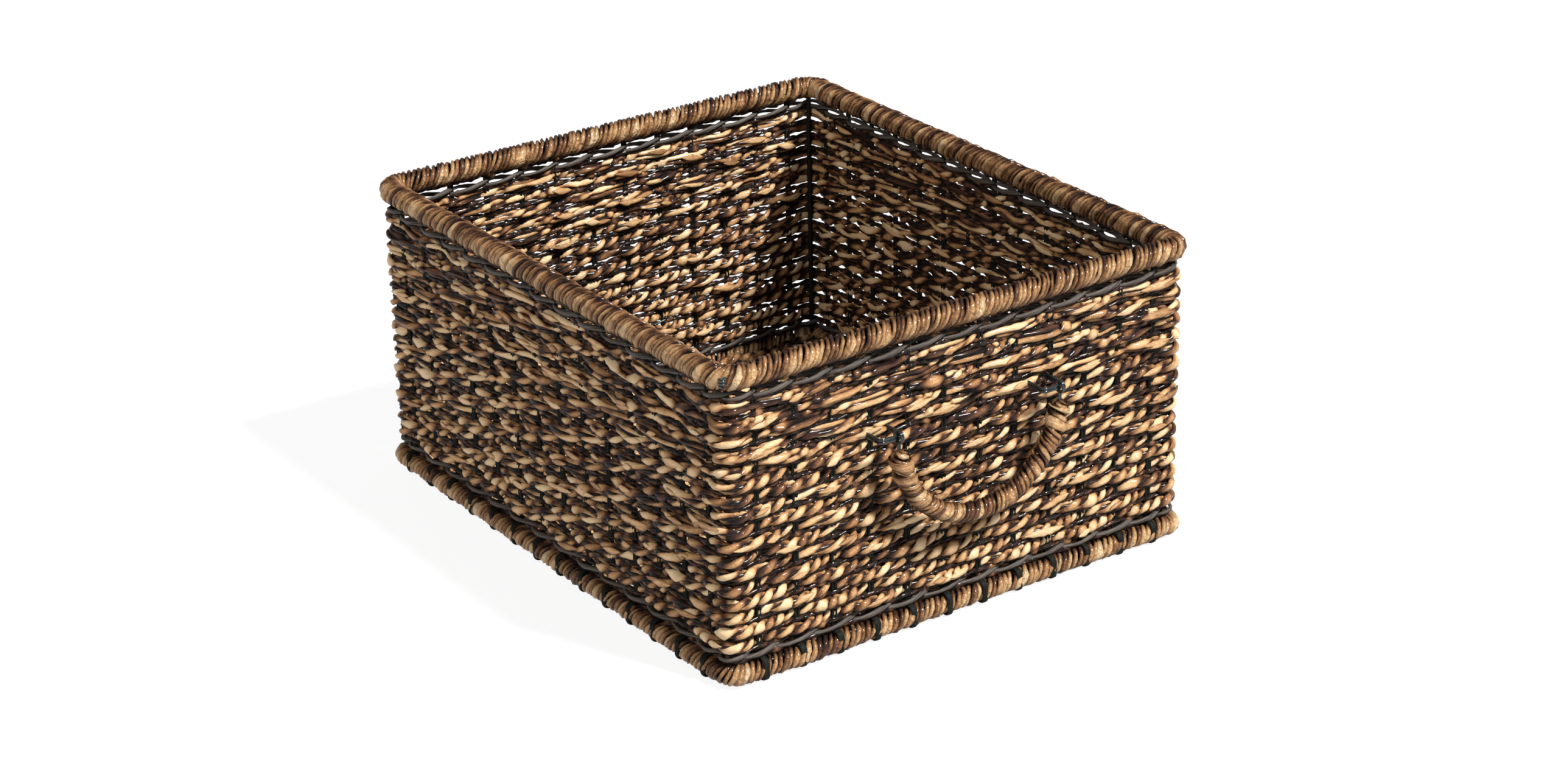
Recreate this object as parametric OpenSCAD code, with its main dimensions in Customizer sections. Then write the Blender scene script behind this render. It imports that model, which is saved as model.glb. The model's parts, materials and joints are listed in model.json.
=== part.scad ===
// A storage basket of twisted ropes woven on dark stakes, with a wrapped rim, a wrapped base
// and two drop handles. The front is -Y, the left is -X and up is +Z, and the origin is at the
// middle of the underside. Sizes are in millimetres.

/* [Basket] */
// Width over the woven walls, along X
basket_w = 357; // [330:1:380]
// Depth over the woven walls, along Y
basket_d = 409; // [390:1:440]
// Height to the top of the rim
basket_h = 204; // [190:1:230]
// Thickness of a woven wall
wall_t = 15; // [13:0.5:16]
// Radius of the walls' outer corners in plan
wall_corner_r = 14; // [12:0.5:16]
// Number of woven rows
row_count = 17; // [14:1:20]

/* [Rim and base] */
// Diameter over the rim wrap
rim_d = 17; // [15:0.5:18]
// Diameter of the rod in the rim
rim_rod_d = 6; // [5:0.5:7]
// How far the rim's centre line stands inside the walls' centre line
rim_inset = 1.8; // [1:0.1:2.5]
// Height of the open gap between the rim and the upper grey pair
rim_gap = 4; // [2:0.5:8]
// Diameter over the base wrap
base_d = 12.6; // [11:0.2:13]
// Diameter of the rod in the base
base_rod_d = 5; // [4:0.5:6]
// How far the base's centre line stands inside the walls' centre line
base_inset = 0.4; // [0.2:0.1:1]
// Radius of the rods' corners, on their centre lines
bend_r = 10; // [9.5:0.5:12]

/* [Stakes and floor] */
// Number of stakes in the front wall, and in the back wall
stakes_wide = 12; // [8:1:12]
// Number of stakes in the left wall, and in the right wall
stakes_deep = 14; // [8:1:14]
// Distance between stakes
stake_pitch = 27; // [24:0.5:27]
// Width of a stake along its wall
stake_w = 4.4; // [3:0.2:5]
// Thickness of a stake
stake_t = 2.2; // [1.8:0.1:2.4]
// Thickness of the strap at a stake's foot
strap_t = 1.1; // [0.8:0.1:1.4]
// Side of a square corner post
post_w = 5; // [4:0.5:5]
// Height of a grey twisted pair
twine_h = 6; // [5:0.5:8]
// Thickness of the woven floor
floor_t = 8; // [6:0.5:9]

/* [Handles] */
// Radius of a handle's bow, to the centre line of its grip
bow_r = 60.5; // [50:0.5:66]
// Diameter over a handle's wrap
grip_d = 15; // [12:0.5:16]
// Height of the bow's centre
bow_z = 134; // [120:1:140]
// Gap between a hanging grip and the wall
grip_gap = 1.2; // [0.6:0.1:3]
// Diameter of the wire in a handle's core
core_d = 3.6; // [3.4:0.1:4.5]
// Diameter of the wire of an eye, and of the rings that hang in the eyes
eye_wire_d = 2.8; // [2.4:0.1:3]

/* [Hidden] */
$fn = 48;
clearance = 0.1;

// Plan: half the distance between opposite centre lines
wall_x = (basket_w - wall_t) / 2;
wall_y = (basket_d - wall_t) / 2;
rim_x = wall_x - rim_inset;
rim_y = wall_y - rim_inset;
base_x = wall_x - base_inset;
base_y = wall_y - base_inset;
wall_inner_corner_r = 3;
post_x = (rim_x + base_x) / 2 - bend_r * (1 - sqrt(1 / 2));
post_y = (rim_y + base_y) / 2 - bend_r * (1 - sqrt(1 / 2));

// Levels, from the underside up
base_z = strap_t + clearance + base_d / 2;
strap_top_z = base_z + base_d / 2 + clearance + strap_t;
lower_twine_z = strap_top_z + clearance;
weave_z = lower_twine_z + twine_h;
rim_z = basket_h - rim_d / 2;
upper_twine_z = basket_h - rim_d - rim_gap - twine_h;
// A whole number of hundredths, so that no row overlaps the next
row_h = floor(100 * (upper_twine_z - weave_z) / row_count) / 100;
floor_z = base_z - floor_t / 2;
stake_top_z = rim_z - rim_rod_d / 2 - clearance;

// The tie sits in a pocket on the outside of the rim, at the front left corner
tie_d = 5.2;
tie_coils = 3;
tie_coil_h = 2.2;
tie_reach = bend_r + rim_d / 2 - 1.7;

// Handles
ring_r = eye_wire_d / 2 + 2;
swing_z = bow_z + ring_r;
swing_y = basket_d / 2 + grip_gap + grip_d / 2;
wrap_end_deg = 5;
// An eye is a closed loop through the wall. Its middle is to the left of its end of the handle,
// so that its legs pass beside the stakes
eye_half_w = 8;
eye_shift = 4.9;
eye_bend_r = 2.5;
eye_inner_y = basket_d / 2 - wall_t - eye_bend_r;
eye_length = swing_y - eye_inner_y;
EYE_PLACES = [-bow_r - eye_shift, bow_r - eye_shift];

SIDES = [["front", 0], ["right", 90], ["back", 180], ["left", 270]];
HANDLE_SIDES = [["front", 0], ["back", 180]];

function row_name(k) = str("weave_row_", k < 10 ? "0" : "", k);

// ---- Shapes that repeat ----

// A flat rectangle with round corners, centred on the origin
module round_rect(w, d, r) {
    square([w - 2 * r, d], center = true);
    square([w, d - 2 * r], center = true);
    for (x = [-1, 1], y = [-1, 1])
        translate([x * (w / 2 - r), y * (d / 2 - r)])
            circle(r);
}

// A round rod bent to a closed rectangle, centred on the origin
module rod_loop(half_x, half_y, bend, d) {
    straight_x = half_x - bend;
    straight_y = half_y - bend;
    for (y = [-1, 1])
        translate([-straight_x, y * half_y, 0])
            rotate([0, 90, 0]) cylinder(d = d, h = 2 * straight_x);
    for (x = [-1, 1])
        translate([x * half_x, straight_y, 0])
            rotate([90, 0, 0]) cylinder(d = d, h = 2 * straight_y);
    for (quarter = [[1, 1, 0], [-1, 1, 90], [-1, -1, 180], [1, -1, 270]])
        translate([quarter[0] * straight_x, quarter[1] * straight_y, 0])
            rotate([0, 0, quarter[2]])
                rotate_extrude(angle = 90) translate([bend, 0]) circle(d = d);
}

function stake_places(count) = [for (i = [0:count - 1]) (i - (count - 1) / 2) * stake_pitch];
function side_stakes(angle) = stake_places(angle % 180 == 0 ? stakes_wide : stakes_deep);
function side_reach(angle) = angle % 180 == 0 ? wall_y : wall_x;
function base_reach(angle) = angle % 180 == 0 ? base_y : base_x;

// The outline of every stake and post where it passes through a row, with its clearance
module upright_holes() {
    for (side = SIDES)
        rotate(side[1])
            for (x = side_stakes(side[1]))
                translate([x, -side_reach(side[1])])
                    square([stake_w + 2 * clearance, stake_t + 2 * clearance], center = true);
    for (x = [-1, 1], y = [-1, 1])
        translate([x * post_x, y * post_y])
            square(post_w + 2 * clearance, center = true);
}

// One closed ring of the wall, with a hole for each stake and post
module wall_ring(h) {
    linear_extrude(h)
        difference() {
            round_rect(basket_w, basket_d, wall_corner_r);
            round_rect(basket_w - 2 * wall_t, basket_d - 2 * wall_t, wall_inner_corner_r);
            upright_holes();
        }
}

// ---- Rim ----

module rim_rod() {
    color("dimgray")
        translate([0, 0, rim_z]) rod_loop(rim_x, rim_y, bend_r, rim_rod_d);
}

// The tie's centre, at the middle of the front left bend
module at_tie() {
    corner = tie_reach * sqrt(1 / 2);
    translate([-(rim_x - bend_r) - corner, -(rim_y - bend_r) - corner, rim_z]) children();
}

module rim_wrap() {
    color("peru")
        difference() {
            translate([0, 0, rim_z]) rod_loop(rim_x, rim_y, bend_r, rim_d);
            translate([0, 0, rim_z]) rod_loop(rim_x, rim_y, bend_r, rim_rod_d);
            translate([0, 0, rim_z - rim_d])
                linear_extrude(stake_top_z - rim_z + rim_d) upright_holes();
            at_tie()
                cylinder(d = tie_d + 2 * clearance, center = true,
                    h = tie_coils * tie_coil_h + 2 * clearance);
        }
}

module rim_tie() {
    color("black")
        at_tie()
            for (i = [0:tie_coils - 1])
                translate([0, 0, (i - tie_coils / 2) * tie_coil_h + clearance / 2])
                    cylinder(d = tie_d, h = tie_coil_h - clearance);
}

// ---- Base ----

module corner_posts() {
    color("dimgray")
        for (x = [-1, 1], y = [-1, 1])
            translate([x * post_x, y * post_y, base_z + base_rod_d / 2])
                linear_extrude(stake_top_z - base_z - base_rod_d / 2)
                    square(post_w, center = true);
}

module base_rod() {
    color("dimgray")
        translate([0, 0, base_z]) rod_loop(base_x, base_y, bend_r, base_rod_d);
}

module base_wrap() {
    color("peru")
        difference() {
            translate([0, 0, base_z]) rod_loop(base_x, base_y, bend_r, base_d);
            translate([0, 0, base_z]) rod_loop(base_x, base_y, bend_r, base_rod_d);
            for (x = [-1, 1], y = [-1, 1])
                translate([x * post_x, y * post_y, base_z])
                    linear_extrude(base_d) square(post_w + 2 * clearance, center = true);
        }
}

// A stake seen from its edge: it stands in the wall, steps out over the base wrap,
// runs down outside it and turns in under it
module stake_outline(wall_reach, wrap_reach) {
    outside = wrap_reach + base_d / 2 + clearance + strap_t;
    toe = wrap_reach - base_d / 4;
    polygon([
        [-wall_reach + stake_t / 2, stake_top_z],
        [-wall_reach - stake_t / 2, stake_top_z],
        [-wall_reach - stake_t / 2, strap_top_z],
        [-outside, strap_top_z],
        [-outside, 0],
        [-toe, 0],
        [-toe, strap_t],
        [-outside + strap_t, strap_t],
        [-outside + strap_t, strap_top_z - strap_t],
        [-wall_reach + stake_t / 2, strap_top_z - strap_t],
    ]);
}

module stakes(angle) {
    color("darkslategray")
        rotate(angle)
            for (x = side_stakes(angle))
                translate([x - stake_w / 2, 0, 0])
                    rotate([90, 0, 90])
                        linear_extrude(stake_w)
                            stake_outline(side_reach(angle), base_reach(angle));
}

// ---- Floor ----

floor_half_x = base_x - base_d / 2;
floor_half_y = base_y - base_d / 2;
floor_corner_r = bend_r - base_d / 2 + 0.2;

module rib_blanks(w, t) {
    for (x = stake_places(stakes_wide))
        translate([x - w / 2, -floor_half_y, base_z - t / 2])
            cube([w, 2 * floor_half_y, t]);
}

module floor_ribs() {
    color("darkslategray") rib_blanks(stake_w, stake_t);
}

module floor_weave() {
    color("sienna")
        difference() {
            translate([0, 0, floor_z])
                linear_extrude(floor_t)
                    round_rect(2 * floor_half_x, 2 * floor_half_y, floor_corner_r);
            rib_blanks(stake_w + 2 * clearance, stake_t + 2 * clearance);
        }
}

// ---- Walls ----

module lower_twine() {
    color("gray") translate([0, 0, lower_twine_z]) wall_ring(twine_h);
}

module upper_twine() {
    color("gray") translate([0, 0, upper_twine_z]) wall_ring(twine_h);
}

ROW_COLOURS = ["saddlebrown", "burlywood", "sienna", "tan"];

// One rope row. A row that the eyes cross also has a hole for each of their legs
module weave_row(k) {
    z = weave_z + (k - 1) * row_h;
    eye_hole_r = eye_wire_d / 2 + clearance;
    crossed = z < swing_z + eye_hole_r && z + row_h > swing_z - eye_hole_r;
    color(ROW_COLOURS[k % len(ROW_COLOURS)])
        difference() {
            translate([0, 0, z]) wall_ring(row_h);
            if (crossed)
                for (side = HANDLE_SIDES, x = EYE_PLACES, leg = [-1, 1])
                    rotate(side[1])
                        translate([x + leg * eye_half_w, -basket_d, swing_z])
                            rotate([-90, 0, 0]) cylinder(r = eye_hole_r, h = basket_d);
        }
}

// ---- Handles: each is drawn on the front and turned to its side ----

module eyes(angle) {
    color("black")
        rotate(angle)
            for (x = EYE_PLACES)
                translate([x, -eye_inner_y - eye_length / 2, swing_z])
                    rod_loop(eye_half_w, eye_length / 2, eye_bend_r, eye_wire_d);
}

// The bow's plane, with the arc hanging below its centre
module in_bow_plane(angle) {
    rotate(angle) translate([0, -swing_y, bow_z]) rotate([-90, 0, 0]) children();
}

module handle_core(angle) {
    color("black") {
        in_bow_plane(angle)
            rotate_extrude(angle = 180) translate([bow_r, 0]) circle(d = core_d);
        rotate(angle)
            for (x = [-1, 1])
                translate([x * bow_r, -swing_y, swing_z])
                    rotate([0, 90, 0])
                        rotate_extrude() translate([ring_r, 0]) circle(d = eye_wire_d);
    }
}

module handle_wrap(angle) {
    color("burlywood")
        in_bow_plane(angle)
            rotate(wrap_end_deg)
                rotate_extrude(angle = 180 - 2 * wrap_end_deg)
                    translate([bow_r, 0])
                        difference() {
                            circle(d = grip_d);
                            circle(d = core_d);
                        }
}

rim_rod();
rim_wrap();
rim_tie();
corner_posts();
base_rod();
base_wrap();
floor_ribs();
floor_weave();
lower_twine();
upper_twine();
for (side = SIDES)
    stakes(side[1]);
for (k = [1:row_count])
    weave_row(k);
for (side = HANDLE_SIDES) {
    eyes(side[1]);
    handle_core(side[1]);
    handle_wrap(side[1]);
}
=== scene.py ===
"""Looks of a woven storage basket: twisted rope walls on dark stakes, wound rim, base and handles."""

import json
import math

import bpy
import numpy as np
from mathutils import Matrix, Vector


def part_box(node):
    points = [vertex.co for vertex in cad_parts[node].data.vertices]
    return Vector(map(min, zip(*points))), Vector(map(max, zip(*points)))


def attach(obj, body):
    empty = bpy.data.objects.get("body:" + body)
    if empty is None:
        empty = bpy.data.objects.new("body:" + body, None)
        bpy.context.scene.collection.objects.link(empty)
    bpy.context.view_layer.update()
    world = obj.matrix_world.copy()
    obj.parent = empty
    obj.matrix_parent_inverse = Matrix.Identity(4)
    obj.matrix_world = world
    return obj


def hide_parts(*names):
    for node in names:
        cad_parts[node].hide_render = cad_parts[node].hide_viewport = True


bl_info = {
    "name": "Woven Basket",
    "version": (1, 0, 0),
    "blender": (4, 5, 0),
    "location": "3D Viewport > Sidebar > Basket",
    "description": "Weaves, winds and finishes a storage basket round its frame",
    "category": "Object",
}

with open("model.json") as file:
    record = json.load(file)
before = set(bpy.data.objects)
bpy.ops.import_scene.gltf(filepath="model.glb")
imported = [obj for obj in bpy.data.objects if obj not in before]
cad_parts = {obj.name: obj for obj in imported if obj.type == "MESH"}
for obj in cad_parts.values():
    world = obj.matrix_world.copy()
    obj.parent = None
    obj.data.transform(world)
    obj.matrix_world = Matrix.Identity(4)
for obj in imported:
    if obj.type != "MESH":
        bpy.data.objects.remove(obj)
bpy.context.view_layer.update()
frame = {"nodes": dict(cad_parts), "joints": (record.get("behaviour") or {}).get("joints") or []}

MM = 0.001


# ---- Settings ----

def length(name, description, default, **more):
    """A distance that the user can change, in metres."""
    return bpy.props.FloatProperty(
        name=name, description=description, default=default, min=0.0,
        unit="LENGTH", subtype="DISTANCE", precision=5, **more)


def colour(name, description, default):
    """A colour that the user can change."""
    return bpy.props.FloatVectorProperty(
        name=name, description=description, default=default, size=3,
        min=0.0, max=1.0, subtype="COLOR")


def angle(name, description, degrees):
    """An angle that the user can change."""
    return bpy.props.FloatProperty(
        name=name, description=description, default=math.radians(degrees),
        unit="ROTATION", subtype="ANGLE")


class BasketWeaveSettings(bpy.types.PropertyGroup):
    """Sizes of the woven walls and of the floor."""

    stakes_wide: bpy.props.IntProperty(
        name="Stakes wide", description="Stakes in the front and in the back", default=12, min=2)
    stakes_deep: bpy.props.IntProperty(
        name="Stakes deep", description="Stakes in the left and in the right", default=14, min=2)
    stake_width: length("Stake width", "Width of a pair of stake rods", 4.4 * MM)
    stake_thickness: length("Stake thickness", "Thickness of a stake rod", 2.2 * MM)
    strap_thickness: length("Strap thickness", "Thickness of the strap at a stake's foot", 1.1 * MM)
    post_side: length("Post side", "Side of the square room for a corner rod", 5.0 * MM)
    corner_rod: length("Corner rod", "Thickness of a corner rod", 3.4 * MM)
    corner_tuck: length("Corner tuck", "How far a corner rod stands inside the bend", 2.5 * MM)
    corner_bend: length("Corner bend", "Bend of a rope round a corner post", 8.0 * MM)
    rope_swing: length("Rope swing", "How far a rope passes in and out of its row's middle", 2.5 * MM)
    ply_width: length("Ply width", "Width of one ply of a rope", 4.4 * MM)
    ply_thickness: length("Ply thickness", "Thickness of one ply of a rope", 2.9 * MM)
    ply_reach_out: length("Ply reach out", "How far a ply stands out of a rope's middle", 2.0 * MM)
    ply_reach_up: length("Ply reach up", "How far a ply stands above a rope's middle", 2.15 * MM)
    leaf_length: length("Leaf length", "Length of a leaf in the upper ropes", 14.0 * MM)
    # The core is a dark strand along the middle of each rope: painted shade that shows in the gaps between its plies
    shade_core_thickness: length("Core thickness", "Thickness of the dark core of a rope", 3.4 * MM)
    # The dark twine between the ropes is painted shade: dark strands that fill the gaps between the rows
    gap_shade_thickness: length("Filler thickness", "Thickness of the dark twine between the ropes", 1.8 * MM)
    flake_width: length("Flake width", "Width of a loose flake on a rope", 4.0 * MM)
    # Width of the dark strands of painted shade between the rows
    gap_shade_width: length("Filler width", "Width of the dark twine between the ropes", 3.5 * MM)
    turn_top: length("Turn at the top", "Length of one turn of the topmost rope", 80.0 * MM)
    turn_middle: length("Turn in the middle", "Length of one turn of a rope below the top rows", 29.0 * MM)
    side_pace: bpy.props.FloatProperty(
        name="Side pace", description="Turns of a rope on the left and right for each one on the front",
        default=0.7, min=0.1)
    top_stretch: length("Top stretch", "How far the topmost row is spread up towards the rim", 2.6 * MM)
    turn_bottom: length("Turn at the bottom", "Length of one turn of the lowest rope", 18.5 * MM)
    row_wander: length("Row wander", "How far a row wanders up and down", 0.7 * MM)
    rings_per_turn: bpy.props.IntProperty(
        name="Rings per turn", description="Rings of a rope's mesh in each of its turns", default=13, min=6)
    floor_row: length("Floor row", "Distance between the ropes of the floor", 7.4 * MM)


class BasketWrapSettings(bpy.types.PropertyGroup):
    """Sizes of the wound strips."""

    rim_turn: length("Rim turn", "Width of one strip round the rim", 3.6 * MM)
    base_turn: length("Base turn", "Width of one strip round the base", 4.0 * MM)
    handle_turn: length("Handle turn", "Width of one strip round a handle", 3.5 * MM)
    cord_thickness: length("Cord thickness", "Thickness of the strip wound on the rim and base", 3.1 * MM)
    strip_thickness: length("Strip thickness", "Thickness of the strip wound on a handle", 2.8 * MM)
    eye_tuck: length("Eye tuck", "How far a wire eye's inner end is tucked into the wall", 8.0 * MM)
    wire: length("Wire", "Thickness of each of a pair of wires", 1.9 * MM)


class BasketFinishSettings(bpy.types.PropertyGroup):
    """Colours of the strips, of the rattan and of the wire."""

    cream: colour("Cream", "Palest strips", (0.457, 0.326, 0.189))
    straw: colour("Straw", "Pale strips", (0.375, 0.223, 0.103))
    caramel: colour("Caramel", "Middling strips", (0.217, 0.106, 0.044))
    bark: colour("Bark", "Brown strips", (0.068, 0.029, 0.014))
    plum: colour("Plum", "Dark purple brown strips", (0.026, 0.012, 0.009))
    char: colour("Char", "Darkest strips", (0.006, 0.004, 0.003))
    grey_light: colour("Light grey", "Pale streaks of the grey rattan", (0.098, 0.080, 0.066))
    grey_dark: colour("Dark grey", "Dark streaks of the grey rattan", (0.012, 0.009, 0.008))
    stake: colour("Stake", "Dark stain of the stakes", (0.005, 0.0055, 0.0045))
    wire: colour("Wire", "Coating of the wires", (0.008, 0.010, 0.010))
    rod: colour("Rod", "Paint of the rods and posts", (0.006, 0.006, 0.005))


class BasketStageSettings(bpy.types.PropertyGroup):
    """Camera, floor and lights."""

    azimuth: angle("Azimuth", "Where the camera stands round the basket", -34.7)
    elevation: angle("Elevation", "How high the camera stands", 23.7)
    roll: angle("Roll", "How far the camera leans", -1.05)
    distance: length("Distance", "Distance from the camera to its target", 2.109)
    target: bpy.props.FloatVectorProperty(
        name="Target", description="Point that the camera looks at", size=3,
        default=(0.0014, -0.0086, 0.0858), subtype="XYZ", unit="LENGTH")
    lens: bpy.props.FloatProperty(
        name="Lens", description="Focal length in millimetres", default=75.5, min=1.0)
    floor_colour: colour("Floor colour", "Colour of the floor", (0.12, 0.12, 0.12))
    floor_glow: bpy.props.FloatProperty(
        name="Floor glow", description="Strength of the floor's own light", default=0.88, min=0.0)
    sky: bpy.props.FloatProperty(
        name="Sky", description="Strength of the light from all round", default=0.28, min=0.0)
    key: bpy.props.FloatProperty(
        name="Key", description="Strength of the key light", default=9.8, min=0.0)
    fill: bpy.props.FloatProperty(
        name="Fill", description="Strength of the light from the left", default=1.8, min=0.0)


def settings(group):
    """One of the scene's groups of settings."""
    return getattr(bpy.context.scene, "basket_" + group)


# ---- Sizes read from the frame ----

def middle(low, high):
    return (low + high) / 2


class Sizes:
    """Sizes and places of the frame's nodes."""

    def __init__(self):
        weave = settings("weave")
        half_stake = weave.stake_thickness / 2
        front_low, front_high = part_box("stakes_front")
        right_low, right_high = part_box("stakes_right")
        self.wall_y = half_stake - front_high.y
        self.wall_x = right_low.x + half_stake
        self.stake_top = front_high.z
        self.pitch = (front_high.x - front_low.x - weave.stake_width) / (weave.stakes_wide - 1)
        rim_low, rim_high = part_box("rim_wrap")
        self.rim_r = (rim_high.z - rim_low.z) / 2
        self.rim_z = middle(rim_low.z, rim_high.z)
        self.rim_x = rim_high.x - self.rim_r
        self.rim_y = rim_high.y - self.rim_r
        base_low, base_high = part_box("base_wrap")
        self.base_r = (base_high.z - base_low.z) / 2
        self.base_z = middle(base_low.z, base_high.z)
        self.base_x = base_high.x - self.base_r
        self.base_y = base_high.y - self.base_r


# ---- Node trees ----

class TreeMaker:
    """Adds nodes to a tree, and links or sets their inputs."""

    def __init__(self, tree):
        self.tree = tree

    def add(self, kind, inputs=None, **properties):
        node = self.tree.nodes.new(kind)
        for key, value in properties.items():
            setattr(node, key, value)
        for key, value in (inputs or {}).items():
            if isinstance(value, bpy.types.NodeSocket):
                self.tree.links.new(value, node.inputs[key])
            else:
                node.inputs[key].default_value = value
        return node

    def math(self, operation, *values):
        node = self.add("ShaderNodeMath", dict(enumerate(values)), operation=operation)
        return node.outputs[0]

    def vector(self, operation, *values):
        node = self.add("ShaderNodeVectorMath", dict(enumerate(values)), operation=operation)
        return node.outputs["Value" if operation == "DOT_PRODUCT" else "Vector"]

    def scaled(self, vector, factor):
        inputs = {0: vector, "Scale": factor}
        return self.add("ShaderNodeVectorMath", inputs, operation="SCALE").outputs[0]

    def capture(self, geometry, fields):
        """Freezes fields on the points of geometry, and returns it with the frozen fields."""
        node = self.add("GeometryNodeCaptureAttribute", {0: geometry})
        for name, (kind, field) in fields.items():
            node.capture_items.new(kind, name)
            self.tree.links.new(field, node.inputs[name])
        return node.outputs[0], {name: node.outputs[name] for name in fields}

    def store(self, geometry, name, kind, field):
        """Keeps a field on the points of geometry under a name that materials can read."""
        inputs = {"Geometry": geometry, "Name": name, "Value": field}
        return self.add("GeometryNodeStoreNamedAttribute", inputs, data_type=kind).outputs[0]

    def read(self, name, kind="FLOAT"):
        inputs = {"Name": name}
        return self.add("GeometryNodeInputNamedAttribute", inputs, data_type=kind).outputs[0]


STRAND_INPUTS = [
    ("Strands", "NodeSocketInt", 2),
    ("Step", "NodeSocketFloat", 0.0018),
    ("Reach out", "NodeSocketFloat", 0.0019),
    ("Reach up", "NodeSocketFloat", 0.0019),
    ("Width", "NodeSocketFloat", 0.0049),
    ("Thickness", "NodeSocketFloat", 0.0041),
    ("Start turn", "NodeSocketFloat", 0.0),
    ("Parts per turn", "NodeSocketFloat", 2.0),
    ("Unevenness", "NodeSocketFloat", 0.5),
    ("Taper", "NodeSocketFloat", 0.0),
    ("Leaf share", "NodeSocketFloat", 0.1),
    ("Leaf growth", "NodeSocketFloat", 0.6),
    ("Drift", "NodeSocketFloat", 0.0),
    ("Tone", "NodeSocketFloat", 0.5),
    ("Tone spread", "NodeSocketFloat", 0.8),
    # Dark ends: partly painted shade where a part tucks under its neighbours, partly stain
    ("Dark ends", "NodeSocketFloat", 0.35),
    ("Facets", "NodeSocketInt", 10),
    ("Creases", "NodeSocketFloat", 0.3),
    ("Seed", "NodeSocketInt", 1),
    ("Material", "NodeSocketMaterial", None),
]


def start_strand_tree():
    """An empty tree with the named inputs of the strands."""
    tree = bpy.data.node_groups.new("Laid strands", "GeometryNodeTree")
    tree.interface.new_socket("Geometry", in_out="INPUT", socket_type="NodeSocketGeometry")
    for name, kind, default in STRAND_INPUTS:
        socket = tree.interface.new_socket(name, in_out="INPUT", socket_type=kind)
        if default is not None:
            socket.default_value = default
    tree.interface.new_socket("Geometry", in_out="OUTPUT", socket_type="NodeSocketGeometry")
    return tree


def strand_section(make, given):
    """An oval section, whose unit circle is kept as "ring"."""
    circle = make.add("GeometryNodeCurvePrimitiveCircle", {"Resolution": given["Facets"], "Radius": 0.5})
    place = make.add("GeometryNodeInputPosition").outputs[0]
    ringed = make.store(circle.outputs[0], "ring", "FLOAT_VECTOR", make.scaled(place, 2.0))
    size = make.add("ShaderNodeCombineXYZ", {0: given["Thickness"], 1: given["Width"]}).outputs[0]
    flat = make.vector("MULTIPLY", place, size)
    return make.add("GeometryNodeSetPosition", {"Geometry": ringed, "Position": flat}).outputs[0]


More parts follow.
